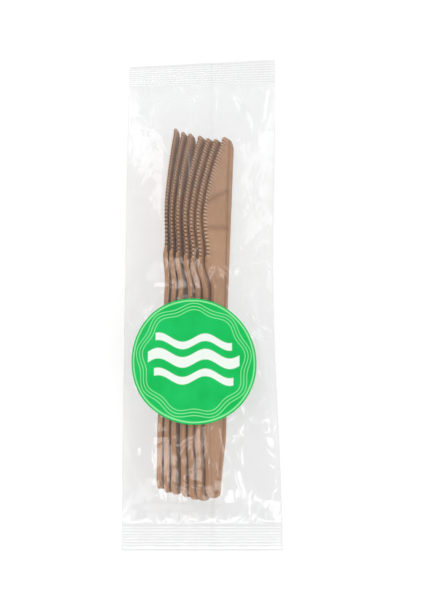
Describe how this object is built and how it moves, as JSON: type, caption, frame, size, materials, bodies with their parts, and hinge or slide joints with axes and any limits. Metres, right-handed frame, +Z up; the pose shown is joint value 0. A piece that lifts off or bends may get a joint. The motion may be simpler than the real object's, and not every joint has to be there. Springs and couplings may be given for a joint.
{
  "type": "pack of biodegradable knives",
  "caption": "Clear film pack with crimped end seals and a round green label, holding a leaning stack of serrated disposable knives moulded in brown plant-based plastic.",
  "frame": {"origin": "middle of the pack's outline, on the surface that it lies on", "axes": "+X across the pack to the side where the front knife shows its face, +Y along it towards the knife tips, +Z up through the labelled front"},
  "size_m": [0.0684, 0.225, 0.022],
  "materials": {
    "film": "clear glossy film",
    "plant_plastic": "satin moulded",
    "label_paper": "satin printed paper"
  },
  "bodies": {
    "root": {"film_wrapper": "film", "knife_1": "plant_plastic", "knife_2": "plant_plastic", "knife_3": "plant_plastic", "knife_4": "plant_plastic", "knife_5": "plant_plastic", "knife_6": "plant_plastic", "knife_7": "plant_plastic", "round_label": "label_paper"}
  },
  "joints": []
}
